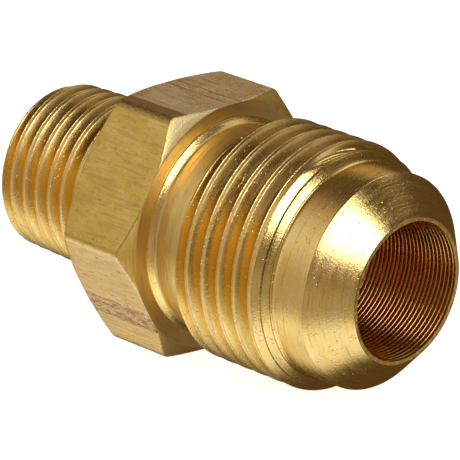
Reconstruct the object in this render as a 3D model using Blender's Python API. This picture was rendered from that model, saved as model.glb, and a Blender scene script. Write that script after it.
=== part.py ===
"""Flare fitting: a half union that joins a 1/2 inch flared tube to a 1/4 inch tapered pipe thread.

The real thing is one piece of hexagon brass bar, so the model is one solid: turned at both ends,
chamfered at the hexagon, bored through in two sizes and threaded. Metres, +Z up. +X runs along
the bore towards the flare end, and one flat of the hexagon faces down. The origin is on the bore's
axis, midway between the two ends.
"""

import math

import bmesh
import bpy

MM = 0.001
INCH = 0.0254

# Driving dimensions: the hexagon bar.
HEX_ACROSS_FLATS = 0.750 * INCH
HEX_LENGTH = 7.05 * MM
HEX_FACE_RADIUS = 9.56 * MM
HEX_CHAMFER_ANGLE = math.radians(30)
BAR_CORNER_RADIUS = 0.85 * MM

# Driving dimensions: the flare end, with its 3/4-16 thread and 45 degree seat. Places along the
# end are measured from the hexagon's flare-side face.
FLARE_LENGTH = 18.27 * MM
FLARE_THREAD_RADIUS = 9.42 * MM
FLARE_THREAD_PITCH = INCH / 16
FLARE_THREAD_DEPTH = 0.93 * MM
FLARE_THREAD_END = 11.67 * MM
FLARE_START_CHAMFER = 0.44 * MM
FLARE_GROOVE_PLACE = 10.64 * MM
FLARE_GROOVE_END = 11.96 * MM
FLARE_THREAD_FADE = 0.20 * MM
SHOULDER_RADIUS = 8.44 * MM
RELIEF_RADIUS = 8.00 * MM
RELIEF_END = 3.04 * MM
RELIEF_WALL_ANGLE = math.radians(60)
NOSE_PLACE = 12.68 * MM
NOSE_RADIUS = 8.21 * MM
RIM_RADIUS = 5.57 * MM
SEAT_ANGLE = math.radians(45)

# Driving dimensions: the pipe end, with its 1/4-18 tapered thread.
PIPE_LENGTH = 11.11 * MM
PIPE_THREAD_RADIUS = 6.56 * MM
PIPE_THREAD_PITCH = INCH / 18
PIPE_THREAD_DEPTH = 0.85 * MM
PIPE_TAPER = 1 / 32
PIPE_GROOVE_PLACE = 2.18 * MM
PIPE_THREAD_FADE = 0.35 * MM
PIPE_END_CHAMFER = 0.35 * MM

# Driving dimensions: the bore, wide at the flare and narrow at the pipe.
FLARE_BORE_RADIUS = 5.27 * MM
FLARE_BORE_DEPTH = 24.0 * MM
PIPE_BORE_RADIUS = 0.281 * INCH / 2
DRILL_POINT_ANGLE = math.radians(59)

# Thread form, and how finely the round shapes are divided.
THREAD_HALF_ANGLE = math.radians(30)
ROOT_FLAT = 0.10 * MM
SEGMENTS = 48
CORNER_STEPS = 3
CUTTER_OVERSHOOT = 0.12 * MM
CLEARANCE = 1.0 * MM

# Places along X, worked out from the lengths.
LENGTH = PIPE_LENGTH + HEX_LENGTH + FLARE_LENGTH
PIPE_END_X = -LENGTH / 2
HEX_BACK_X = PIPE_END_X + PIPE_LENGTH
HEX_FRONT_X = HEX_BACK_X + HEX_LENGTH
RIM_X = LENGTH / 2


def remove_everything():
    """Empty the file of objects."""
    for item in list(bpy.data.objects):
        bpy.data.objects.remove(item, do_unlink=True)


def brass_material():
    """Bright machined yellow brass."""
    material = bpy.data.materials.new("brass")
    material.use_nodes = True
    shader = material.node_tree.nodes["Principled BSDF"]
    shader.inputs["Base Color"].default_value = (0.80, 0.58, 0.25, 1.0)
    shader.inputs["Metallic"].default_value = 1.0
    shader.inputs["Roughness"].default_value = 0.28
    return material


def add_object(name, mesh_data):
    """Turn a bmesh into a named object in the scene."""
    mesh = bpy.data.meshes.new(name)
    mesh_data.to_mesh(mesh)
    mesh_data.free()
    item = bpy.data.objects.new(name, mesh)
    bpy.context.collection.objects.link(item)
    return item


def arc(center_x, center_r, radius, start, end, steps):
    """Points (x, r) on an arc from one angle to another, both ends included."""
    points = []
    for step in range(steps + 1):
        angle = start + (end - start) * step / steps
        points.append((center_x + radius * math.cos(angle), center_r + radius * math.sin(angle)))
    return points


def turned(name, profile):
    """A solid of revolution about X from an outline (x, r) that starts and ends on the axis."""
    mesh_data = bmesh.new()
    vertices = [mesh_data.verts.new((x, 0.0, r)) for x, r in profile]
    edges = [mesh_data.edges.new(pair) for pair in zip(vertices, vertices[1:])]
    bmesh.ops.spin(
        mesh_data,
        geom=vertices + edges,
        cent=(0.0, 0.0, 0.0),
        axis=(1.0, 0.0, 0.0),
        angle=math.tau,
        steps=SEGMENTS,
        use_merge=True,
    )
    bmesh.ops.remove_doubles(mesh_data, verts=mesh_data.verts, dist=0.001 * MM)
    bmesh.ops.recalc_face_normals(mesh_data, faces=mesh_data.faces)
    return add_object(name, mesh_data)


def pipe_radius(x):
    """Outer radius of the tapered pipe thread at a place along X."""
    return PIPE_THREAD_RADIUS + (x - PIPE_END_X) * PIPE_TAPER


def blank_profile():
    """Outline of the turned ends before threading, from the pipe end to the rim of the flare."""
    pipe_chamfer_x = PIPE_END_X + PIPE_END_CHAMFER
    inside_hex_x = HEX_BACK_X + HEX_LENGTH / 2
    shoulder_cone = SHOULDER_RADIUS - RELIEF_RADIUS
    relief_end_x = HEX_FRONT_X + RELIEF_END
    relief_wall = (FLARE_THREAD_RADIUS - RELIEF_RADIUS) / math.tan(RELIEF_WALL_ANGLE)
    thread_end_x = HEX_FRONT_X + FLARE_THREAD_END
    seat_length = (NOSE_RADIUS - RIM_RADIUS) / math.tan(SEAT_ANGLE)
    return [
        (PIPE_END_X, 0.0),
        (PIPE_END_X, pipe_radius(PIPE_END_X) - PIPE_END_CHAMFER),
        (pipe_chamfer_x, pipe_radius(pipe_chamfer_x)),
        (HEX_BACK_X, pipe_radius(HEX_BACK_X)),
        (inside_hex_x, pipe_radius(HEX_BACK_X)),
        (inside_hex_x, SHOULDER_RADIUS + shoulder_cone),
        (HEX_FRONT_X - shoulder_cone, SHOULDER_RADIUS + shoulder_cone),
        (HEX_FRONT_X + shoulder_cone, RELIEF_RADIUS),
        (relief_end_x, RELIEF_RADIUS),
        (relief_end_x + relief_wall, FLARE_THREAD_RADIUS),
        (thread_end_x, FLARE_THREAD_RADIUS),
        (thread_end_x + FLARE_START_CHAMFER, FLARE_THREAD_RADIUS - FLARE_START_CHAMFER),
        (HEX_FRONT_X + NOSE_PLACE, NOSE_RADIUS),
        (RIM_X - seat_length, NOSE_RADIUS),
        (RIM_X, RIM_RADIUS),
        (RIM_X, 0.0),
    ]


def bore_profile():
    """Outline of everything the two drills take out."""
    step_x = RIM_X - FLARE_BORE_DEPTH
    point_length = (FLARE_BORE_RADIUS - PIPE_BORE_RADIUS) / math.tan(DRILL_POINT_ANGLE)
    return [
        (PIPE_END_X - CLEARANCE, 0.0),
        (PIPE_END_X - CLEARANCE, PIPE_BORE_RADIUS),
        (step_x - point_length, PIPE_BORE_RADIUS),
        (step_x, FLARE_BORE_RADIUS),
        (RIM_X + CLEARANCE, FLARE_BORE_RADIUS),
        (RIM_X + CLEARANCE, 0.0),
    ]


def hexagon_outline():
    """Corner-rounded outline of the bar as points (y, z), with flats at the top and the bottom."""
    corner_reach = (HEX_ACROSS_FLATS / 2 - BAR_CORNER_RADIUS) / math.cos(math.pi / 6)
    points = []
    for corner in range(6):
        direction = corner * math.pi / 3
        center_y = corner_reach * math.cos(direction)
        center_z = corner_reach * math.sin(direction)
        start = direction - math.pi / 6
        points += arc(center_y, center_z, BAR_CORNER_RADIUS, start, start + math.pi / 3, CORNER_STEPS)
    return points


def hexagon_bar(name):
    """A length of hexagon bar along X."""
    mesh_data = bmesh.new()
    vertices = [mesh_data.verts.new((HEX_BACK_X, y, z)) for y, z in hexagon_outline()]
    back = mesh_data.faces.new(vertices)
    grown = bmesh.ops.extrude_face_region(mesh_data, geom=[back])["geom"]
    front = [piece for piece in grown if isinstance(piece, bmesh.types.BMVert)]
    bmesh.ops.translate(mesh_data, vec=(HEX_LENGTH, 0.0, 0.0), verts=front)
    bmesh.ops.recalc_face_normals(mesh_data, faces=mesh_data.faces)
    return add_object(name, mesh_data)


def hex_chamfer_profile():
    """Outline of the two cones that take the corners off both ends of the hexagon."""
    reach = HEX_ACROSS_FLATS / 4
    rise = reach * math.tan(HEX_CHAMFER_ANGLE)
    return [
        (HEX_BACK_X, 0.0),
        (HEX_BACK_X, HEX_FACE_RADIUS),
        (HEX_BACK_X + rise, HEX_FACE_RADIUS + reach),
        (HEX_FRONT_X - rise, HEX_FACE_RADIUS + reach),
        (HEX_FRONT_X, HEX_FACE_RADIUS),
        (HEX_FRONT_X, 0.0),
    ]


def helical_cutter(name, start_x, end_x, groove_x, pitch, depth, crest_radius_at, fades):
    """A right-hand thread cutter: a trapezoid swept along a helix from start_x to end_x.

    The helix crosses the -Y side at groove_x, and it is divided at the same angles as the turned
    shapes. Within fades, the lengths along X at the start and the end, the cutter lifts out of
    the work, so the groove gets shallower there.
    """
    root_half = ROOT_FLAT / 2
    outer_half = root_half + (depth + CUTTER_OVERSHOOT) * math.tan(THREAD_HALF_ANGLE)
    divisions = SEGMENTS / math.tau
    first = math.ceil((math.pi + math.tau * (start_x - groove_x) / pitch) * divisions)
    last = math.floor((math.pi + math.tau * (end_x - groove_x) / pitch) * divisions)
    mesh_data = bmesh.new()
    sections = []
    for step in range(first, last + 1):
        angle = step / divisions
        x = groove_x + pitch * (angle - math.pi) / math.tau
        short_of = [
            1 - distance / fade
            for distance, fade in zip((x - start_x, end_x - x), fades)
            if fade > distance
        ]
        lift = (depth + CUTTER_OVERSHOOT / 2) * max(short_of, default=0.0)
        crest = crest_radius_at(x) + lift
        corners = [
            (x - root_half, crest - depth),
            (x + root_half, crest - depth),
            (x + outer_half, crest + CUTTER_OVERSHOOT),
            (x - outer_half, crest + CUTTER_OVERSHOOT),
        ]
        ring = [(along, r * math.cos(angle), r * math.sin(angle)) for along, r in corners]
        sections.append([mesh_data.verts.new(point) for point in ring])
    for near, far in zip(sections, sections[1:]):
        for side in range(4):
            other = (side + 1) % 4
            mesh_data.faces.new((near[side], near[other], far[other], far[side]))
    mesh_data.faces.new(sections[0])
    mesh_data.faces.new(sections[-1])
    bmesh.ops.triangulate(mesh_data, faces=mesh_data.faces)
    bmesh.ops.recalc_face_normals(mesh_data, faces=mesh_data.faces)
    return add_object(name, mesh_data)


def combine(target, other, operation):
    """Add, subtract or intersect another object with a Boolean modifier."""
    other.display_type = "WIRE"
    other.hide_render = True
    modifier = target.modifiers.new(other.name, "BOOLEAN")
    modifier.operation = operation
    modifier.object = other
    modifier.solver = "EXACT"


def fitting_body():
    """The whole fitting: turned blank plus hexagon, less the bore and both threads."""
    hexagon = hexagon_bar("hexagon_guide")
    combine(hexagon, turned("hex_chamfer_cutter", hex_chamfer_profile()), "INTERSECT")
    bore = turned("bore_cutter", bore_profile())
    flare_thread = helical_cutter(
        "flare_thread_cutter",
        start_x=HEX_FRONT_X + RELIEF_END - FLARE_THREAD_PITCH / 2,
        end_x=HEX_FRONT_X + FLARE_GROOVE_END,
        groove_x=HEX_FRONT_X + FLARE_GROOVE_PLACE,
        pitch=FLARE_THREAD_PITCH,
        depth=FLARE_THREAD_DEPTH,
        crest_radius_at=lambda x: FLARE_THREAD_RADIUS,
        fades=(0.0, FLARE_THREAD_FADE),
    )
    pipe_thread = helical_cutter(
        "pipe_thread_cutter",
        start_x=PIPE_END_X - PIPE_THREAD_PITCH / 2,
        end_x=HEX_BACK_X - PIPE_THREAD_PITCH / 2,
        groove_x=PIPE_END_X + PIPE_GROOVE_PLACE,
        pitch=PIPE_THREAD_PITCH,
        depth=PIPE_THREAD_DEPTH,
        crest_radius_at=pipe_radius,
        fades=(0.0, PIPE_THREAD_FADE),
    )
    body = turned("fitting_body", blank_profile())
    combine(body, hexagon, "UNION")
    combine(body, bore, "DIFFERENCE")
    combine(body, flare_thread, "DIFFERENCE")
    combine(body, pipe_thread, "DIFFERENCE")
    body.data.materials.append(brass_material())
    body.data.shade_smooth()
    body.data.set_sharp_from_angle(angle=math.radians(30))
    return body


remove_everything()
fitting_body()
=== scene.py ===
"""Looks for the flare fitting: one finely turned brass mesh that stands for the CAD solid.

Lengths in the mesh code are millimetres, with x measured from the hexagon's flare-side face and
angles measured about the bore from +Y towards +Z. They are turned into metres at the very end.
"""

import math
from collections import namedtuple

import bmesh
import bpy
import numpy as np
from mathutils import Matrix, Vector


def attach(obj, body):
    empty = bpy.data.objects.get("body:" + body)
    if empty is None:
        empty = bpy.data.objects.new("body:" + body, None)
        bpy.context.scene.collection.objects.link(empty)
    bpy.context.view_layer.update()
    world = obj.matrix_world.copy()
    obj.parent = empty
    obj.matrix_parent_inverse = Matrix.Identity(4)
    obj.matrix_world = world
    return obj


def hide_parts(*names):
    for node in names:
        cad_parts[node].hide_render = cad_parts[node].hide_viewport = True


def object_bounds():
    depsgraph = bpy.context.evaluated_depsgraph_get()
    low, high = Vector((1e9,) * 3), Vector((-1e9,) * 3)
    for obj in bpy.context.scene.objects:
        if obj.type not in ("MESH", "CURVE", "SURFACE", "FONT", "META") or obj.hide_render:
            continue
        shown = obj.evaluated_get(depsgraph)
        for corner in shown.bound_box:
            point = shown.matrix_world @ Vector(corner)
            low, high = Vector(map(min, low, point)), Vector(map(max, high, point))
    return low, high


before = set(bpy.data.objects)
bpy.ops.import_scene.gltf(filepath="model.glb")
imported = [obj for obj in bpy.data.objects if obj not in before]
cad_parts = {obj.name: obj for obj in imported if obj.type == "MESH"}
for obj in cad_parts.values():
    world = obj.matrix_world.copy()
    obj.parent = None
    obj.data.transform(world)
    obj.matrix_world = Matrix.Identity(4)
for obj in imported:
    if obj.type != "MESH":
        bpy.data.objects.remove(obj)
cad_low, cad_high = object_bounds()

MM = 0.001

# Vertices closer than this are one vertex.
SAME_PLACE = 0.00002

# The hexagon. Its faces end at least FACE_MARGIN inside the flats. CHAMFER_CROWN rounds the front
# chamfer a little: at each share of its width, it stands out by a share of its height. The back
# edge drops away over a short reach.
SECTOR = math.pi / 3
ACROSS_FLATS = 19.05
CORNER_ROUNDING = 0.72
CORNER_COLUMNS = 6
FLAT_COLUMNS = 20
HEX_LENGTH = 7.05
HEX_FACE_RADIUS = 9.535
FACE_MARGIN = 0.02
HEX_CHAMFER = math.radians(30)
CHAMFER_CROWN = ((0.3, 0.055), (0.6, 0.065), (0.85, 0.035))
BACK_EDGE_REACH = 0.24
BACK_EDGE_DROP = 0.05
BACK_EDGE_ROWS = 6

# The drawn flats fall away a little before the corners: where across the flat that starts and
# ends, how much it falls, each flat's share of it, counted from the flat after the +Y corner, and
# the share right on a corner.
FALL_START = 4.1
FALL_END = 5.5
FALL = 0.055
FALL_SHARES = (0.6, 1.0, 0.35, 1.0, 0.6, 0.6)
CORNER_FALL_SHARE = 0.6

# The flare end, from the shoulder outwards; pairs are (x, r). SHOULDER_CONE is how long the
# shoulder's coned edge is along the axis. The land is the cylinder over the thread's crests, and
# the rows on the wall from its chamfer down to the nose stand out and in by TOOL_LINE.
SHOULDER_RADIUS = 8.44
SHOULDER_CONE = 0.52
RELIEF_RADIUS = 8.00
RELIEF_END = 3.04
LAND_END = 11.67
LAND_RADIUS = 9.42
CHAMFER_END = (12.11, 8.98)
STEP_END = (12.16, 8.86)
NOSE_START = (12.68, 8.22)
SEAT_START = (15.63, 8.195)
TOOL_LINE = 0.010
RIM = (18.27, 5.57)

# The bore. The drill's feed marks are a helix of shallow grooves, FEED_GROOVE deep, whose floor
# is the flatter the higher FEED_SQUARENESS is. FEED_SHARES places the mesh rows over one turn.
BORE_RADIUS = 5.27
BORE_DEPTH = 24.0
BORE_MOUTH = 0.16
FEED_PITCH = 0.381
FEED_GROOVE = 0.050
FEED_LENGTH = 10.0
FEED_SHARES = (0.0, 0.04, 0.10, 0.24, 0.50, 0.76, 0.90, 0.96)
FEED_SQUARENESS = 6

# The pipe end.
PIPE_LENGTH = 11.11
PIPE_END = -HEX_LENGTH - PIPE_LENGTH
PIPE_END_RADIUS = 6.56
PIPE_TAPER = 1 / 32
PIPE_CHAMFER = 0.35
PIPE_BORE_RADIUS = 3.569
DRILL_POINT = math.radians(59)

# How far the roundings of edges and fillets reach, and the most of a side that one may take up.
SHARP = 0.03
CRISP = 0.05
PIPE_EDGE = 0.08
FLAT_EDGE = 0.10
SHOULDER_EDGE = 0.12
RELIEF_FILLET = 0.14
NOSE_FILLET = 0.22
RIM_EDGE = 0.06
MOUTH_EDGE = 0.07
LONGEST_ROUNDING = 0.45

# The frame's origin is midway between the two ends.
ORIGIN_X = (RIM[0] + PIPE_END) / 2

WALL_SLOPE = math.tan(math.radians(60))
LAND_START = RELIEF_END + (LAND_RADIUS - RELIEF_RADIUS) / WALL_SLOPE

# Corners of the outline that more than one stretch of it uses, as (x, r).
END_FACE_IN = (PIPE_END, PIPE_BORE_RADIUS)
END_FACE_OUT = (PIPE_END, PIPE_END_RADIUS - PIPE_CHAMFER)
RIM_IN = (RIM[0], BORE_RADIUS)


class Thread:
    """A right-hand thread: its pitch, where a groove crosses the -Y side, and its section.

    The grooves fade to nothing at end_x, over a length of fade.
    """

    def __init__(self, pitch, groove_x, section, end_x, fade):
        self.pitch = pitch
        self.groove_x = groove_x
        self.section = section
        self.end_x = end_x
        self.fade = fade

    def depth(self, x):
        """How deep the groove is below the crest at x, at every column."""
        turns = (x - self.groove_x) / self.pitch - LEAD
        index = np.round(turns)
        from_groove = (turns - index) * self.pitch
        offsets = [point[0] for point in self.section]
        depths = [point[1] for point in self.section]
        center = self.groove_x + (index + LEAD) * self.pitch
        strength = np.clip((self.end_x - center) / self.fade, 0.0, 1.0)
        return np.interp(from_groove, offsets, depths) * strength

    def stations(self):
        """Offsets from a groove's centre where the rows of the mesh run, over one pitch."""
        return [point[0] for point in self.section[:-1]]


# Sections over one pitch: offset from the groove's centre, and depth below the crest. The crest
# has a raised lip along its pipe side and a shallow dip behind it.
FLARE_THREAD = Thread(
    pitch=1.5875,
    groove_x=10.64,
    section=[
        (-0.79375, 0.044),
        (-0.695, 0.026),
        (-0.628, 0.030),
        (-0.598, 0.064),
        (-0.555, 0.130),
        (-0.350, 0.466),
        (-0.120, 0.858),
        (-0.060, 0.915),
        (0.000, 0.930),
        (0.060, 0.915),
        (0.120, 0.858),
        (0.350, 0.466),
        (0.555, 0.112),
        (0.600, 0.045),
        (0.632, 0.006),
        (0.655, 0.000),
        (0.668, 0.008),
        (0.692, 0.038),
        (0.718, 0.055),
        (0.79375, 0.044),
    ],
    end_x=11.96,
    fade=0.20,
)
PIPE_THREAD = Thread(
    pitch=25.4 / 18,
    groove_x=PIPE_END + 2.185,
    section=[
        (-0.70556, 0.040),
        (-0.600, 0.022),
        (-0.545, 0.028),
        (-0.505, 0.062),
        (-0.460, 0.120),
        (-0.280, 0.415),
        (-0.100, 0.730),
        (-0.050, 0.820),
        (0.000, 0.850),
        (0.050, 0.820),
        (0.100, 0.730),
        (0.280, 0.415),
        (0.460, 0.106),
        (0.495, 0.050),
        (0.530, 0.010),
        (0.552, 0.000),
        (0.566, 0.010),
        (0.590, 0.040),
        (0.620, 0.056),
        (0.70556, 0.040),
    ],
    end_x=-HEX_LENGTH - 0.71,
    fade=0.35,
)


def corner_arc():
    """Distance from the axis to the centre of a corner's rounding, and half the angle it spans."""
    reach = (ACROSS_FLATS / 2 - CORNER_ROUNDING) / math.cos(SECTOR / 2)
    half = math.atan2(
        CORNER_ROUNDING * math.sin(SECTOR / 2),
        reach + CORNER_ROUNDING * math.cos(SECTOR / 2),
    )
    return reach, half


def column_angles():
    """Angles of the mesh columns, a full turn, closer together at the hexagon's corners."""
    half = corner_arc()[1]
    corner = np.linspace(-half, half, CORNER_COLUMNS + 1)[:-1]
    flat = np.linspace(half, SECTOR - half, FLAT_COLUMNS + 1)[:-1]
    one = np.concatenate([corner, flat])
    turn = np.concatenate([one + k * SECTOR for k in range(6)])
    turn = np.sort(np.mod(np.round(turn, 12), math.tau))
    return np.append(turn, math.tau)


ANGLES = column_angles()

# How far along its pitch a right-hand helix is at each column, counted from the -Y side.
LEAD = (ANGLES - math.pi) / math.tau


def hexagon_radius():
    """Distance from the axis to the rounded hexagon at every column."""
    reach, half = corner_arc()
    from_corner = np.abs(np.mod(ANGLES + SECTOR / 2, SECTOR) - SECTOR / 2)
    flat = ACROSS_FLATS / 2 / np.cos(SECTOR / 2 - from_corner)
    inside = CORNER_ROUNDING**2 - (reach * np.sin(from_corner)) ** 2
    arc = reach * np.cos(from_corner) + np.sqrt(np.maximum(inside, 0.0))
    radius = np.where(from_corner < half, arc, flat)
    from_middle = radius * np.sin(SECTOR / 2 - from_corner)
    fall = np.clip((from_middle - FALL_START) / (FALL_END - FALL_START), 0.0, 1.0) ** 2 * FALL
    flat_number = np.floor(np.mod(ANGLES, math.tau) / SECTOR).astype(int) % 6
    share = np.array(FALL_SHARES)[flat_number]
    nearness = np.clip(from_corner / half, 0.0, 1.0)
    share = share * nearness + CORNER_FALL_SHARE * (1 - nearness)
    return radius - fall * share


class Rows:
    """Rows of the mesh in order along the outline, each with the finish of the band after it."""

    def __init__(self):
        self.x = []
        self.r = []
        self.finish = []
        self.depth = []

    def add(self, x, r, finish, depth=0.0):
        self.x.append(np.broadcast_to(np.asarray(x, float), ANGLES.shape))
        self.r.append(np.broadcast_to(np.asarray(r, float), ANGLES.shape))
        self.depth.append(np.broadcast_to(np.asarray(depth, float), ANGLES.shape))
        self.finish.append(finish)

    def add_all(self, points, finish):
        for x, r in points:
            self.add(x, r, finish)

    def add_cut(self, x, r, finish, thread, crest):
        """Adds a row at radius r, or lower where the thread's groove below its crest is lower."""
        depth = thread.depth(x)
        self.add(x, np.minimum(r, crest - depth), finish, depth)


def rounded(before, corner, after, size, steps=4):
    """Points that round off a corner between two neighbours, as (x, r) pairs.

    Each x or r is a number or an array with one value for every column.
    """
    before, corner, after = [
        [np.asarray(value, float) for value in point] for point in (before, corner, after)
    ]

    def towards(end):
        dx = end[0] - corner[0]
        dr = end[1] - corner[1]
        length = np.maximum(np.hypot(dx, dr), 1e-9)
        reach = np.minimum(size, LONGEST_ROUNDING * length)
        return corner[0] + dx / length * reach, corner[1] + dr / length * reach

    start = towards(before)
    end = towards(after)
    points = []
    for step in range(steps + 1):
        t = step / steps
        weights = ((1 - t) ** 2, 2 * t * (1 - t), t**2)
        points.append(
            tuple(
                weights[0] * start[k] + weights[1] * corner[k] + weights[2] * end[k]
                for k in range(2)
            )
        )
    return points


def between(start, end, count):
    """Evenly spaced points strictly between two (x, r) points."""
    points = []
    for step in range(1, count + 1):
        t = step / (count + 1)
        points.append((start[0] + (end[0] - start[0]) * t, start[1] + (end[1] - start[1]) * t))
    return points


def helical_rows(pitch, groove_x, stations, start_x, end_x):
    """x of the rows that follow a helix, clipped to a stretch of the part."""
    first = math.floor((start_x - groove_x) / pitch - 0.5) - 1
    last = math.ceil((end_x - groove_x) / pitch + 0.5) + 1
    rows = [np.full(ANGLES.shape, start_x)]
    for index in range(first, last + 1):
        for offset in stations:
            x = groove_x + (index + LEAD) * pitch + offset
            if np.all(x <= start_x) or np.all(x >= end_x):
                continue
            rows.append(np.clip(x, start_x, end_x))
    rows.append(np.full(ANGLES.shape, end_x))
    return rows


def thread_rows(thread, start_x, end_x):
    """x of the rows that follow a thread over a stretch of the part."""
    return helical_rows(thread.pitch, thread.groove_x, thread.stations(), start_x, end_x)


def pipe_radius(x):
    """Radius over the pipe thread's crests."""
    return PIPE_END_RADIUS + (x - PIPE_END) * PIPE_TAPER


def add_pipe_end(rows):
    """The pipe end's face, its chamfer and the tapered thread."""
    chamfer_x = PIPE_END + PIPE_CHAMFER
    chamfer_top = (chamfer_x, pipe_radius(chamfer_x))
    rows.add_all(between(END_FACE_IN, END_FACE_OUT, 2), "turned")
    start = rounded(END_FACE_IN, END_FACE_OUT, chamfer_top, PIPE_EDGE)
    start += between(END_FACE_OUT, chamfer_top, 4)[1:]
    for x, r in start:
        rows.add_cut(x, r, "thread", PIPE_THREAD, pipe_radius(x))
    for x in thread_rows(PIPE_THREAD, chamfer_x, -HEX_LENGTH):
        rows.add_cut(x, pipe_radius(x), "thread", PIPE_THREAD, pipe_radius(x))


def add_hexagon(rows):
    """The hexagon's back face, back chamfer, flats, front chamfer and the front face's edge."""
    hexagon = hexagon_radius()
    face_edge = np.minimum(HEX_FACE_RADIUS, hexagon - FACE_MARGIN)
    rise = (hexagon - face_edge) * math.tan(HEX_CHAMFER)
    worn = hexagon - BACK_EDGE_DROP
    back = -HEX_LENGTH
    back_root = (back, pipe_radius(back))
    back_edge = (back, np.minimum(HEX_FACE_RADIUS, worn - FACE_MARGIN))
    back_flat = (back + (worn - back_edge[1]) * math.tan(HEX_CHAMFER), worn)
    back_inner = (back, 8.0)
    back_outer = (back, 9.3)
    front_flat = (-rise, hexagon)
    front_edge = (0.0, face_edge)
    front_inner = (0.0, 8.5)
    rows.add(*back_root, "faced")
    rows.add_all(between(back_root, back_outer, 2), "faced")
    rows.add_all(rounded(back_inner, back_edge, back_flat, SHARP, 2), "faced")
    for step in range(BACK_EDGE_ROWS):
        left = 1 - step / (BACK_EDGE_ROWS - 1)
        x = back_flat[0] + BACK_EDGE_REACH * (1 - left)
        rows.add(x, hexagon - BACK_EDGE_DROP * left**2, "drawn")
    rows.add_all(between((x, hexagon), front_flat, 8), "drawn")
    rows.add_all(rounded(back_flat, front_flat, front_edge, FLAT_EDGE), "drawn")
    rows.finish[-1] = "cut"
    for share, crown in CHAMFER_CROWN:
        x = front_flat[0] * (1 - share) + crown * rise
        rows.add(x, hexagon + (face_edge - hexagon) * share, "cut")
    rows.add_all(rounded(front_flat, front_edge, front_inner, SHARP, 2), "face")


def add_relief(rows):
    """The front face, the shoulder's coned edge, the relief groove and the wall to the thread."""
    face = (0.0, 9.4)
    shoulder = (0.0, SHOULDER_RADIUS)
    relief_start = (SHOULDER_CONE, RELIEF_RADIUS)
    relief_middle = (1.6, RELIEF_RADIUS)
    relief_end = (RELIEF_END, RELIEF_RADIUS)
    land_start = (LAND_START, LAND_RADIUS)
    rows.add_all(between(face, shoulder, 2), "face")
    rows.add_all(rounded(face, shoulder, relief_start, SHOULDER_EDGE), "turned")
    fillet = rounded(shoulder, relief_start, relief_middle, RELIEF_FILLET, 7)
    rows.add_all(fillet, "faced")
    rows.add_all(between(fillet[-1], relief_end, 6), "faced")
    wall = rounded(relief_start, relief_end, land_start, RELIEF_FILLET)
    wall += between(wall[-1], land_start, 9)
    for x, r in wall:
        rows.add_cut(x, r, "thread", FLARE_THREAD, LAND_RADIUS)


def add_flare_thread(rows):
    """The flare thread, its start chamfer and the turned wall down to the nose."""
    for x in thread_rows(FLARE_THREAD, LAND_START, LAND_END):
        rows.add_cut(x, LAND_RADIUS, "thread", FLARE_THREAD, LAND_RADIUS)
    land_inner = (LAND_END - 0.4, LAND_RADIUS)
    land_end = (LAND_END, LAND_RADIUS)
    fall = rounded(land_inner, land_end, CHAMFER_END, CRISP)[2:]
    fall += between(fall[-1], CHAMFER_END, 5)
    fall += rounded(land_end, CHAMFER_END, STEP_END, SHARP, 2)
    fall += between(CHAMFER_END, STEP_END, 2)
    fall += rounded(CHAMFER_END, STEP_END, NOSE_START, SHARP, 2)
    for x, r in between(STEP_END, NOSE_START, 9)[:-1]:
        side = 1 - 2 * (len(fall) % 2)
        fall.append((x, r + TOOL_LINE * side))
    for x, r in fall:
        rows.add_cut(x, r, "turned", FLARE_THREAD, LAND_RADIUS)


def add_nose(rows):
    """The nose, the 45 degree seat and the rim."""
    rows.add_all(rounded(STEP_END, NOSE_START, SEAT_START, NOSE_FILLET, 6), "turned")
    rows.add_all(between(NOSE_START, SEAT_START, 5), "turned")
    rows.add_all(rounded(NOSE_START, SEAT_START, RIM, CRISP), "turned")
    rows.add_all(between(SEAT_START, RIM, 6), "turned")
    rows.add_all(rounded(SEAT_START, RIM, RIM_IN, RIM_EDGE, 3), "turned")
    rows.finish[-1] = "cut"
    rows.add_all(between(RIM, RIM_IN, 1), "cut")


def add_bore(rows):
    """The bore: its mouth, the drill's feed marks, plain wall, and the pipe end's narrower hole."""
    mouth_x = RIM[0] - BORE_MOUTH
    deep = (RIM[0] - FEED_LENGTH, BORE_RADIUS)
    rows.add_all(rounded(RIM, RIM_IN, (mouth_x, BORE_RADIUS), MOUTH_EDGE)[:-1], "cut")
    stations = [FEED_PITCH * share for share in FEED_SHARES]
    for x in reversed(helical_rows(FEED_PITCH, mouth_x, stations, deep[0], mouth_x)):
        phase = (x - mouth_x) / FEED_PITCH - LEAD
        across = 2 * (phase - np.floor(phase)) - 1
        groove = FEED_GROOVE * (1 - np.abs(across) ** FEED_SQUARENESS)
        rows.add(x, BORE_RADIUS + groove, "bore")
    step = (RIM[0] - BORE_DEPTH, BORE_RADIUS)
    point = (BORE_RADIUS - PIPE_BORE_RADIUS) / math.tan(DRILL_POINT)
    narrow = (step[0] - point, PIPE_BORE_RADIUS)
    rows.add_all(between(deep, step, 4), "bore")
    rows.add_all(rounded(deep, step, narrow, CRISP, 2), "bore")
    rows.add_all(between(step, narrow, 2), "bore")
    rows.add_all(rounded(step, narrow, END_FACE_IN, CRISP, 2), "bore")
    rows.add_all(between(narrow, END_FACE_IN, 6), "bore")
    rows.add_all(rounded(narrow, END_FACE_IN, END_FACE_OUT, PIPE_EDGE), "bore")
    rows.finish[-1] = "turned"


def outline():
    """All rows, from the pipe end's face over the outside to the rim and back through the bore."""
    rows = Rows()
    add_pipe_end(rows)
    add_hexagon(rows)
    add_relief(rows)
    add_flare_thread(rows)
    add_nose(rows)
    add_bore(rows)
    return rows


# The order of the materials that build_object adds.
FINISHES = ("turned", "drawn", "thread", "bore", "cut", "faced", "face")


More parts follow.
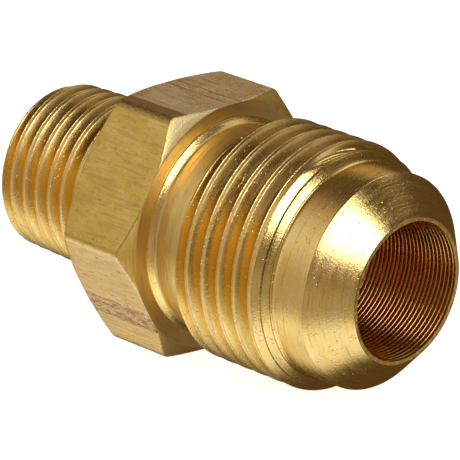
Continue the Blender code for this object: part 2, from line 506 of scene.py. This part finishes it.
def fine_mesh(name):
    """Builds the closed mesh from the rows and merges the places where rows meet."""
    rows = outline()
    x = np.array(rows.x) - ORIGIN_X
    r = np.array(rows.r)
    points = np.stack([x, r * np.cos(ANGLES), r * np.sin(ANGLES)], axis=-1) * MM
    row_count, column_count = x.shape
    number = np.arange(row_count * column_count).reshape(row_count, column_count)
    below = number
    above = np.roll(number, -1, axis=0)
    faces = np.stack([below[:, :-1], above[:, :-1], above[:, 1:], below[:, 1:]], axis=-1)
    materials = np.repeat([FINISHES.index(f) for f in rows.finish], column_count - 1)
    mesh = bpy.data.meshes.new(name)
    mesh.from_pydata(points.reshape(-1, 3).tolist(), [], faces.reshape(-1, 4).tolist())
    mesh.polygons.foreach_set("material_index", materials.astype(np.int32))
    depth = mesh.attributes.new("groove_depth", "FLOAT", "POINT")
    depth.data.foreach_set("value", np.array(rows.depth, np.float32).ravel())
    merge(mesh)
    mesh.shade_smooth()
    item = bpy.data.objects.new(name, mesh)
    bpy.context.collection.objects.link(item)
    return item


def merge(mesh):
    """Joins vertices that lie in one place, and turns every face outward."""
    data = bmesh.new()
    data.from_mesh(mesh)
    bmesh.ops.remove_doubles(data, verts=data.verts, dist=SAME_PLACE * MM)
    bmesh.ops.recalc_face_normals(data, faces=data.faces)
    open_edges = sum(1 for edge in data.edges if len(edge.link_faces) != 2)
    print(f"fine mesh: {len(data.verts)} points {len(data.faces)} faces {open_edges} open edges")
    data.to_mesh(mesh)
    data.free()


class Nodes:
    """Short calls for building one material's nodes."""

    def __init__(self, tree):
        self.tree = tree

    def make(self, kind, inputs=None, **settings):
        """Adds a node with its settings, and links or sets its inputs."""
        node = self.tree.nodes.new(kind)
        for key, value in settings.items():
            setattr(node, key, value)
        for key, value in (inputs or {}).items():
            if isinstance(value, bpy.types.NodeSocket):
                self.tree.links.new(value, node.inputs[key])
            else:
                node.inputs[key].default_value = value
        return node

    def math(self, operation, first, second=0.0):
        return self.make("ShaderNodeMath", {0: first, 1: second}, operation=operation).outputs[0]

    def add(self, first, second):
        return self.math("ADD", first, second)

    def subtract(self, first, second):
        return self.math("SUBTRACT", first, second)

    def multiply(self, first, second):
        return self.math("MULTIPLY", first, second)

    def ramp(self, value, low, high, to_low=0.0, to_high=1.0):
        """A smooth step of a value from low to high; low may be the larger one."""
        ends = {"From Min": low, "From Max": high, "To Min": to_low, "To Max": to_high}
        node = self.make(
            "ShaderNodeMapRange", {"Value": value, **ends}, interpolation_type="SMOOTHSTEP"
        )
        return node.outputs[0]

    def mix(self, factor, first, second):
        """The first colour at factor 0 and the second at 1."""
        inputs = {0: factor, 6: first, 7: second}
        return self.make("ShaderNodeMix", inputs, data_type="RGBA").outputs[2]

    def noise(self, vector, scale, detail=2.0, roughness=0.5, w=None):
        """Fractal noise between 0 and 1, in four dimensions where w is given."""
        inputs = {"Vector": vector, "Scale": scale, "Detail": detail, "Roughness": roughness}
        if w is None:
            return self.make("ShaderNodeTexNoise", inputs).outputs["Fac"]
        inputs["W"] = w
        return self.make("ShaderNodeTexNoise", inputs, noise_dimensions="4D").outputs["Fac"]

    def dots(self, vector, scale, share, size):
        """Small round spots in a share of the cells: 1 in the middle of a spot and 0 outside."""
        cells = self.make("ShaderNodeTexVoronoi", {"Vector": vector, "Scale": scale})
        chosen = self.make("ShaderNodeSeparateColor", {0: cells.outputs["Color"]}).outputs[0]
        kept = self.ramp(chosen, share, share - 0.02)
        spot = self.ramp(cells.outputs["Distance"], size, 0.0)
        return self.multiply(kept, spot)

    def lines(self, vector, scale, width):
        """Thin wandering lines, where a noise crosses its middle value."""
        value = self.noise(vector, scale, detail=1.0)
        off = self.math("ABSOLUTE", self.subtract(value, 0.5))
        return self.ramp(off, width, 0.0)

    def vector(self, x, y, z):
        return self.make("ShaderNodeCombineXYZ", {0: x, 1: y, 2: z}).outputs[0]


def color(red, green, blue):
    return (red, green, blue, 1.0)


WHITE = color(1.0, 1.0, 1.0)
BRASS = color(0.88, 0.63, 0.215)
BRASS_PALE = color(0.88, 0.66, 0.28)
# Paler brass for painted highlights on the cut edges and the rim.
BRASS_PAINTED_HIGHLIGHT = color(0.98, 0.82, 0.42)
BRASS_WARM = color(0.84, 0.54, 0.12)
# Darker tones for the bore: painted shade.
BORE_DEEP_PAINTED_SHADE = color(0.76, 0.45, 0.14)
BORE_PAINTED_SHADE = color(0.80, 0.52, 0.18)
BRASS_FACED = color(0.80, 0.60, 0.24)
# A darker tone for the hexagon's front face: painted shade.
FACE_PAINTED_SHADE = color(0.71, 0.55, 0.29)
# The colour of the painted shade in the thread grooves.
BRASS_PAINTED_SHADE = color(0.38, 0.24, 0.09)
# Duller brass for marks and wear, and for painted shade.
BRASS_DULL_AND_SHADE = color(0.48, 0.30, 0.12)
BRASS_PINK = color(0.74, 0.55, 0.40)
# Tones of the top, front and lower flats: painted light and shade.
TOP_FLAT_PAINTED_LIGHT = color(1.0, 0.90, 0.71)
FRONT_FLAT_PAINTED_SHADE = color(0.675, 0.475, 0.112)
LOWER_FLAT_PAINTED_SHADE = color(0.80, 0.59, 0.31)
EDGE_TINT = color(0.95, 0.76, 0.46)

# Directions round the axis, in degrees from +Y towards +Z.
TOP_FLAT = 90.0
FRONT_FLAT = 150.0
LOWER_FLAT = 210.0
PAINTED_HIGHLIGHT_CORNER = 120.0
PAINTED_SHADE_CORNER = 240.0
WORN_CORNER = 117.9
# Sides round the axis where the thread grooves get painted shade.
UPPER_PAINTED_SHADE = 112.0
LOWER_PAINTED_SHADE = 214.0

# Heights and depths of the small marks, in micrometres.
MICROMETRE = 0.001 * MM
PIT_DEPTH = 18.0
SPECK_HEIGHT = 22.0
SCRATCH_DEPTH = 7.0
RIM_BEAD_HEIGHT = 70.0
CREST_BURR_HEIGHT = 30.0
DRAWN_STREAK_HEIGHT = 20.0
DRAWN_GRAIN_HEIGHT = 24.0
DRAWN_STAIN_HEIGHT = 30.0
DRAWN_SCUFF_HEIGHT = 26.0
DRAWN_BAND_HEIGHT = 110.0
DRAWN_SCRATCH_DEPTH = 6.0
DRAWN_LINE_DEPTH = 16.0
DRAWN_PIT_DEPTH = 14.0
DRAWN_DENT_HEIGHT = 45.0

# A place on the object, in millimetres: along the axis, across it, away from it, and the
# direction round the axis as a cosine and a sine.
Place = namedtuple("Place", "x y z r along_y along_z")


def new_brass(name):
    """An empty material with a metallic Principled shader, and helpers for its nodes."""
    material = bpy.data.materials.new(name)
    material.use_nodes = True
    tree = material.node_tree
    shader = tree.nodes["Principled BSDF"]
    shader.inputs["Metallic"].default_value = 1.0
    shader.inputs["Specular Tint"].default_value = EDGE_TINT
    return material, Nodes(tree), shader


def connect(nodes, shader, base, roughness, height):
    """Links the colour, the roughness and the height in micrometres to a shader."""
    inputs = {"Height": height, "Distance": MICROMETRE, "Strength": 1.0}
    bump = nodes.make("ShaderNodeBump", inputs)
    nodes.tree.links.new(base, shader.inputs["Base Color"])
    nodes.tree.links.new(roughness, shader.inputs["Roughness"])
    nodes.tree.links.new(bump.outputs[0], shader.inputs["Normal"])


def lathe_coordinates(nodes):
    """The shaded point as a Place."""
    coordinates = nodes.make("ShaderNodeTexCoord").outputs["Object"]
    split = nodes.make("ShaderNodeSeparateXYZ", {0: coordinates})
    x, y, z = [nodes.multiply(split.outputs[k], 1 / MM) for k in range(3)]
    r = nodes.math("SQRT", nodes.add(nodes.multiply(y, y), nodes.multiply(z, z)))
    away = nodes.math("MAXIMUM", r, 0.1)
    return Place(x, y, z, r, nodes.math("DIVIDE", y, away), nodes.math("DIVIDE", z, away))


def stretched(nodes, at, along, across):
    """The position scaled by one number along the axis and by another across it."""
    return nodes.vector(
        nodes.multiply(at.x, along), nodes.multiply(at.y, across), nodes.multiply(at.z, across)
    )


def turned_marks(nodes, at, fineness, wander):
    """Noise drawn out round the axis, as a lathe tool leaves it."""
    vector = nodes.vector(
        nodes.multiply(at.x, fineness),
        nodes.multiply(at.along_y, wander),
        nodes.multiply(at.along_z, wander),
    )
    return nodes.noise(vector, 1.0, detail=3.0, w=nodes.multiply(at.r, fineness))


def facing_side(nodes, at, angle):
    """Cosine of the angle, seen along the axis, between a point and a direction in degrees."""
    a = math.radians(angle)
    return nodes.add(
        nodes.multiply(at.along_y, math.cos(a)), nodes.multiply(at.along_z, math.sin(a))
    )


def strip(nodes, value, middle, half, soft):
    """1 where a value lies within half of middle, falling to 0 over a soft edge."""
    off = nodes.math("ABSOLUTE", nodes.subtract(value, middle))
    return nodes.ramp(off, half + soft, half)


def add_frost_and_painted_light(nodes, at, position, base, grain):
    """For cut edges: a painted highlight on the upper corner, painted shade on the lower one, and
    small raised beads on the rim with painted glints.
    """
    outside = nodes.ramp(at.r, 9.3, 9.5)
    # Painted highlight: the cut corner that faces up and forward is paler.
    upper_painted_light = nodes.ramp(facing_side(nodes, at, PAINTED_HIGHLIGHT_CORNER), 0.90, 0.96)
    base = nodes.mix(nodes.multiply(outside, upper_painted_light), base, BRASS_PAINTED_HIGHLIGHT)
    # Painted shade: the cut corner that faces down and back is darker.
    lower_painted_shade = nodes.ramp(facing_side(nodes, at, PAINTED_SHADE_CORNER), 0.86, 0.94, 0.0, 0.8)
    base = nodes.mix(nodes.multiply(outside, lower_painted_shade), base, BRASS_DULL_AND_SHADE)
    on_rim = nodes.ramp(at.r, 5.9, 5.7)
    spread = nodes.ramp(nodes.noise(position, 3.2, detail=2.0), 0.52, 0.62)
    # Raised beads on the rim; their paler colour is a painted highlight.
    beads_and_glints = nodes.multiply(on_rim, spread)
    base = nodes.mix(nodes.multiply(beads_and_glints, 0.7), base, BRASS_PAINTED_HIGHLIGHT)
    return base, nodes.add(grain, nodes.multiply(beads_and_glints, RIM_BEAD_HEIGHT))


def add_groove(nodes, at, position, base, roughness, grain, tone, rougher):
    """For threads: grooves of another tone, darkened on their upper and lower sides as painted
    shade, and burrs on the crests.
    """
    depth = nodes.make("ShaderNodeAttribute", attribute_name="groove_depth").outputs["Fac"]
    inside = nodes.ramp(depth, 0.08, 0.32)
    # Painted shade: grooves facing up, and a little those facing down, are darkened.
    upper_painted_light = nodes.ramp(facing_side(nodes, at, UPPER_PAINTED_SHADE), 0.70, 0.95, 0.0, 0.78)
    lower_painted_shade = nodes.ramp(facing_side(nodes, at, LOWER_PAINTED_SHADE), 0.86, 0.96, 0.0, 0.22)
    bottom = nodes.mix(nodes.add(upper_painted_light, lower_painted_shade), tone, BRASS_PAINTED_SHADE)
    base = nodes.mix(inside, base, bottom)
    roughness = nodes.add(roughness, nodes.multiply(inside, rougher))
    grain = nodes.multiply(grain, nodes.ramp(depth, 0.0, 0.2, 1.0, 0.35))
    on_crest = nodes.ramp(depth, 0.12, 0.05)
    burrs = nodes.multiply(nodes.dots(position, 4.2, 0.45, 0.30), on_crest)
    grain = nodes.add(grain, nodes.multiply(burrs, CREST_BURR_HEIGHT))
    return base, roughness, grain


def lathe_material(
    name,
    tones,
    rough,
    marks,
    anisotropy,
    grain_height,
    flaws=1.0,
    frosted_and_painted_light=False,
    groove_tone=None,
    groove_rough=None,
):
    """Brass cut on a lathe: marks round the axis, faint stains, small pits and raised specks.

    tones are the clean and the stained colour, rough is the roughness, marks and grain_height are
    heights in micrometres, and flaws scales pits, specks and scratches. frosted adds what
    add_frost_and_painted_light does, and a groove_tone, with the roughness in the grooves, what add_groove does.
    """
    material, nodes, shader = new_brass(name)
    at = lathe_coordinates(nodes)
    position = nodes.vector(at.x, at.y, at.z)
    fine = turned_marks(nodes, at, 6.0, 3.0)
    broad = turned_marks(nodes, at, 1.9, 2.0)
    stains = nodes.noise(position, 0.55, detail=4.0, roughness=0.6)
    grain = nodes.noise(position, 6.5, detail=2.0, roughness=0.6)
    pits = nodes.dots(position, 2.2, 0.26, 0.19)
    specks = nodes.dots(position, 3.1, 0.12, 0.24)
    scratch_place = nodes.vector(
        nodes.multiply(at.x, 1.6),
        nodes.add(at.along_y, nodes.multiply(at.x, 0.15)),
        nodes.multiply(at.along_z, 6.0),
    )
    patches = nodes.ramp(nodes.noise(position, 1.1, detail=1.0), 0.52, 0.60)
    scratches = nodes.multiply(nodes.lines(scratch_place, 1.3, 0.007), patches)

    base = nodes.mix(nodes.ramp(stains, 0.40, 0.66), tones[0], tones[1])
    base = nodes.mix(nodes.ramp(fine, 0.54, 0.74, 0.0, 0.6), base, BRASS_DULL_AND_SHADE)
    base = nodes.mix(nodes.multiply(pits, 0.8 * flaws), base, BRASS_DULL_AND_SHADE)
    base = nodes.mix(nodes.multiply(scratches, 0.5 * flaws), base, BRASS_DULL_AND_SHADE)
    roughness = nodes.add(
        nodes.ramp(broad, 0.3, 0.7, rough - 0.04, rough + 0.06),
        nodes.ramp(grain, 0.35, 0.75, -0.02, 0.05),
    )
    grain = nodes.multiply(grain, grain_height)
    if frosted_and_painted_light:
        base, grain = add_frost_and_painted_light(nodes, at, position, base, grain)
    if groove_tone is not None:
        rougher = groove_rough - rough
        base, roughness, grain = add_groove(
            nodes, at, position, base, roughness, grain, groove_tone, rougher
        )

    height = nodes.add(nodes.multiply(fine, marks), nodes.multiply(broad, marks * 2))
    height = nodes.subtract(height, nodes.multiply(pits, PIT_DEPTH * flaws))
    height = nodes.add(height, nodes.multiply(specks, SPECK_HEIGHT * flaws))
    height = nodes.subtract(height, nodes.multiply(scratches, SCRATCH_DEPTH * flaws))
    height = nodes.add(height, grain)
    connect(nodes, shader, base, roughness, height)
    shader.inputs["Anisotropic"].default_value = anisotropy
    tangent = nodes.make("ShaderNodeTangent", direction_type="RADIAL", axis="X")
    nodes.tree.links.new(tangent.outputs[0], shader.inputs["Tangent"])
    return material


def drawn_material(name):
    """Brass as drawn through a die: streaks along the bar, scratches, scuffs, a worn corner and
    painted light on the flats and the lower corner.
    """
    material, nodes, shader = new_brass(name)
    at = lathe_coordinates(nodes)
    position = nodes.vector(at.x, at.y, at.z)
    along_bar = stretched(nodes, at, 0.35, 5.0)
    across_bar = stretched(nodes, at, 1.6, 3.4)
    streaks = nodes.noise(along_bar, 1.0, detail=4.0, roughness=0.65)
    stains = nodes.noise(position, 0.45, detail=4.0, roughness=0.6)
    grain = nodes.noise(position, 5.0, detail=3.0, roughness=0.65)
    scuffs = nodes.noise(across_bar, 1.0, detail=3.0, roughness=0.65)
    patches = nodes.ramp(nodes.noise(position, 0.9, detail=1.0), 0.50, 0.58)
    scratches = nodes.multiply(nodes.lines(across_bar, 0.45, 0.012), patches)
    pits = nodes.dots(position, 2.0, 0.24, 0.17)
    on_top = nodes.ramp(facing_side(nodes, at, TOP_FLAT), 0.86, 0.885)
    on_front = nodes.ramp(facing_side(nodes, at, FRONT_FLAT), 0.86, 0.875)
    on_lower = nodes.ramp(facing_side(nodes, at, LOWER_FLAT), 0.86, 0.885)

    # The corner over the front flat is worn. The one under the lower flat is a little darker:
    # painted shade.
    worn = nodes.ramp(facing_side(nodes, at, WORN_CORNER), 0.9964, 0.9976)
    low_edge = nodes.ramp(facing_side(nodes, at, PAINTED_SHADE_CORNER), 0.9990, 0.9996)

    # A scuffed band runs along the lower flat; this is how far across that flat a point is.
    across_lower = nodes.add(nodes.multiply(at.y, 0.5), nodes.multiply(at.z, -math.sqrt(0.75)))
    scuffed = nodes.multiply(strip(nodes, across_lower, 1.35, 0.75, 0.5), on_lower)

    # Two broken lines run along the top flat and waver a little.
    waver = nodes.ramp(nodes.noise(position, 0.7, detail=2.0), 0.0, 1.0, -0.08, 0.08)
    across_top = nodes.add(at.y, waver)
    first = strip(nodes, across_top, 0.05, 0.04, 0.12)
    second = strip(nodes, across_top, 1.05, 0.03, 0.10)
    lines = nodes.multiply(nodes.add(first, second), on_top)
    lines = nodes.multiply(lines, nodes.ramp(scuffs, 0.36, 0.52))

    # Painted light: each flat gets its own lit or shaded tone, the top one paler and the front and
    # lower ones darker.
    tone = nodes.mix(on_top, BRASS_PALE, TOP_FLAT_PAINTED_LIGHT)
    tone = nodes.mix(on_front, tone, FRONT_FLAT_PAINTED_SHADE)
    tone = nodes.mix(on_lower, tone, LOWER_FLAT_PAINTED_SHADE)
    base = nodes.mix(nodes.ramp(stains, 0.42, 0.68, 0.0, 0.50), tone, BRASS)
    base = nodes.mix(nodes.ramp(streaks, 0.50, 0.70, 0.0, 0.55), base, BRASS_DULL_AND_SHADE)
    base = nodes.mix(nodes.ramp(scuffs, 0.54, 0.70, 0.0, 0.65), base, BRASS_DULL_AND_SHADE)
    base = nodes.mix(nodes.multiply(scuffed, 0.5), base, BRASS_PINK)
    marked = nodes.multiply(scuffed, nodes.ramp(scuffs, 0.45, 0.58, 0.0, 0.9))
    base = nodes.mix(marked, base, BRASS_DULL_AND_SHADE)
    base = nodes.mix(nodes.multiply(lines, 0.7), base, BRASS_DULL_AND_SHADE)
    base = nodes.mix(nodes.multiply(worn, 0.8), base, BRASS_DULL_AND_SHADE)
    base = nodes.mix(nodes.multiply(low_edge, 0.7), base, BRASS_DULL_AND_SHADE)
    roughness = nodes.add(
        nodes.ramp(streaks, 0.3, 0.7, 0.25, 0.35),
        nodes.ramp(grain, 0.35, 0.75, -0.03, 0.06),
    )

    height = nodes.add(
        nodes.multiply(streaks, DRAWN_STREAK_HEIGHT), nodes.multiply(grain, DRAWN_GRAIN_HEIGHT)
    )
    height = nodes.add(height, nodes.multiply(stains, DRAWN_STAIN_HEIGHT))
    rubbed = nodes.add(DRAWN_SCUFF_HEIGHT, nodes.multiply(scuffed, DRAWN_BAND_HEIGHT))
    height = nodes.add(height, nodes.multiply(scuffs, rubbed))
    height = nodes.subtract(height, nodes.multiply(scratches, DRAWN_SCRATCH_DEPTH))
    height = nodes.subtract(height, nodes.multiply(lines, DRAWN_LINE_DEPTH))
    height = nodes.subtract(height, nodes.multiply(pits, DRAWN_PIT_DEPTH))
    dents = nodes.multiply(worn, nodes.multiply(grain, DRAWN_DENT_HEIGHT))
    height = nodes.add(height, dents)
    connect(nodes, shader, base, roughness, height)
    return material


def build_object():
    """The fitting, with one material for each finish in the order of FINISHES."""
    item = fine_mesh("fitting_body_brass")
    for material in (
        lathe_material(
            "brass_turned",
            (BRASS, BRASS_PALE),
            rough=0.20,
            marks=9.0,
            anisotropy=0.3,
            grain_height=11.0,
        ),
        drawn_material("brass_drawn"),
        lathe_material(
            "brass_thread",
            (BRASS_PALE, BRASS),
            rough=0.30,
            marks=5.0,
            anisotropy=0.1,
            grain_height=26.0,
            groove_tone=BRASS_WARM,
            groove_rough=0.26,
        ),
        lathe_material(
            "brass_bore",
            # Darker tones than the outside's: painted shade in the bore.
            (BORE_DEEP_PAINTED_SHADE, BORE_PAINTED_SHADE),
            rough=0.20,
            marks=0.6,
            anisotropy=0.0,
            grain_height=0.5,
            flaws=0.12,
        ),
        lathe_material(
            "brass_cut",
            (BRASS, BRASS_WARM),
            rough=0.52,
            marks=5.0,
            anisotropy=0.0,
            grain_height=30.0,
            # The cut edges get a rough finish with painted highlight, painted shade and painted
            # glints.
            frosted_and_painted_light=True,
        ),
        lathe_material(
            "brass_faced",
            (BRASS_FACED, BRASS),
            rough=0.36,
            marks=16.0,
            anisotropy=0.3,
            grain_height=10.0,
        ),
        lathe_material(
            "brass_face",
            # Darker than the faced brass: painted shade on the hexagon's front face.
            (FACE_PAINTED_SHADE, BRASS_FACED),
            rough=0.40,
            marks=16.0,
            anisotropy=0.3,
            grain_height=10.0,
        ),
    ):
        item.data.materials.append(material)
    weighted = item.modifiers.new("even_normals", "WEIGHTED_NORMAL")
    weighted.mode = "FACE_AREA"
    weighted.keep_sharp = True
    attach(item, "root")
    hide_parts("fitting_body")
    return item


def direction(azimuth, elevation):
    """Unit vector towards an azimuth from -Y towards +X and an elevation, in degrees."""
    a = math.radians(azimuth)
    e = math.radians(elevation)
    return (math.sin(a) * math.cos(e), -math.cos(a) * math.cos(e), math.sin(e))


# The light tent: azimuth, elevation, full and outer angular radius in degrees, and brightness.
TENT_LIGHTS = [
    (88, 49, 5, 13, 3.5),
    (76, 43, 6, 15, 4.0),
    (64, 34, 6, 16, 4.0),
    (134, 25, 5, 15, 0.50),
    (136, -20, 8, 28, 0.17),
    (46, -20, 8, 22, 0.16),
    (-88, 8, 8, 24, 0.30),
    (-45, 10, 25, 65, 0.39),
    (-58, 36, 8, 30, 0.17),
    (-22, 30, 8, 30, 0.25),
    (-10, -55, 10, 34, 0.80),
    (-73, -46, 14, 33, 0.78),
    (57, -57, 12, 31, 1.00),
    (82, -38, 6, 20, 0.60),
    (20, -5, 20, 60, 0.20),
    (-136, 21, 5, 16, 0.38),
    (180, 52, 10, 22, 0.90),
]

# The tent's brightness away from its lights, the tint of its dim parts, and how fast that tint
# gives way to white as the tent gets brighter.
TENT_BASE = 0.10
TENT_TINT = color(1.0, 0.66, 0.30)
TENT_WHITENING = 1.1


def build_world():
    """A pale backdrop for the camera, and a tent of soft lights for everything that shines."""
    world = bpy.data.worlds.new("light_tent")
    world.use_nodes = True
    bpy.context.scene.world = world
    nodes = Nodes(world.node_tree)
    background = world.node_tree.nodes["Background"]
    towards = nodes.make("ShaderNodeTexCoord").outputs["Generated"]
    total = TENT_BASE
    for azimuth, elevation, inner, outer, brightness in TENT_LIGHTS:
        facing = nodes.make(
            "ShaderNodeVectorMath",
            {0: towards, 1: direction(azimuth, elevation)},
            operation="DOT_PRODUCT",
        )
        outer_cosine = math.cos(math.radians(outer))
        inner_cosine = math.cos(math.radians(inner))
        lobe = nodes.ramp(facing.outputs["Value"], outer_cosine, inner_cosine, 0.0, brightness)
        total = nodes.add(total, lobe)
    tent_color = nodes.mix(nodes.multiply(total, TENT_WHITENING), TENT_TINT, WHITE)
    seen = nodes.make("ShaderNodeLightPath").outputs["Is Camera Ray"]
    strength = nodes.add(nodes.multiply(total, nodes.subtract(1.0, seen)), seen)
    world.node_tree.links.new(strength, background.inputs["Strength"])
    backdrop = nodes.mix(seen, tent_color, WHITE)
    world.node_tree.links.new(backdrop, background.inputs["Color"])


# The floor: half its width in metres, and its own glow, which brings it near the backdrop.
FLOOR_HALF_WIDTH = 3.0
FLOOR_GLOW = 0.85


def build_floor():
    """A plain pale floor under the fitting, which isn't seen in the brass."""
    bottom = cad_low.z
    half = FLOOR_HALF_WIDTH
    around = ((-half, -half), (half, -half), (half, half), (-half, half))
    corners = [(x, y, bottom) for x, y in around]
    mesh = bpy.data.meshes.new("floor")
    mesh.from_pydata(corners, [], [(0, 1, 2, 3)])
    floor = bpy.data.objects.new("floor", mesh)
    bpy.context.collection.objects.link(floor)
    material = bpy.data.materials.new("pale_floor")
    material.use_nodes = True
    shader = material.node_tree.nodes["Principled BSDF"]
    shader.inputs["Base Color"].default_value = color(0.9, 0.9, 0.9)
    shader.inputs["Roughness"].default_value = 0.9
    shader.inputs["Specular IOR Level"].default_value = 0.0
    shader.inputs["Emission Color"].default_value = WHITE
    shader.inputs["Emission Strength"].default_value = FLOOR_GLOW
    mesh.materials.append(material)
    floor.visible_glossy = False


# The camera: the side it looks from and its roll in degrees, then its distance from the axis at
# the hexagon's front face and its shift across and up, in millimetres.
CAMERA_AZIMUTH = 44.008
CAMERA_ELEVATION = 20.284
CAMERA_ROLL = 1.791
CAMERA_DISTANCE = 318.6
CAMERA_ACROSS = 0.205
CAMERA_UP = -0.361
CAMERA_LENS = 332.94
CAMERA_SENSOR = 36.0


def build_camera():
    """The camera, turned, placed and rolled to the view the reference was taken from."""
    azimuth = math.radians(CAMERA_AZIMUTH)
    roll = math.radians(CAMERA_ROLL)
    back = Vector(direction(CAMERA_AZIMUTH, CAMERA_ELEVATION))
    level = Vector((math.cos(azimuth), math.sin(azimuth), 0.0))
    upright = back.cross(level)
    right = level * math.cos(roll) + upright * math.sin(roll)
    up = upright * math.cos(roll) - level * math.sin(roll)
    place = back * CAMERA_DISTANCE + right * CAMERA_ACROSS + up * CAMERA_UP
    place -= Vector((ORIGIN_X, 0.0, 0.0))
    matrix = Matrix((right, up, back)).transposed().to_4x4()
    matrix.translation = place * MM
    data = bpy.data.cameras.new("camera")
    data.sensor_width = CAMERA_SENSOR
    data.lens = CAMERA_LENS
    data.clip_start = 0.01
    data.clip_end = 10.0
    camera = bpy.data.objects.new("camera", data)
    camera.matrix_world = matrix
    bpy.context.collection.objects.link(camera)
    bpy.context.scene.camera = camera


build_object()
build_world()
build_floor()
build_camera()
scene = bpy.context.scene
scene.view_settings.view_transform = "Standard"
scene.cycles.glossy_bounces = 8
scene.cycles.max_bounces = 12
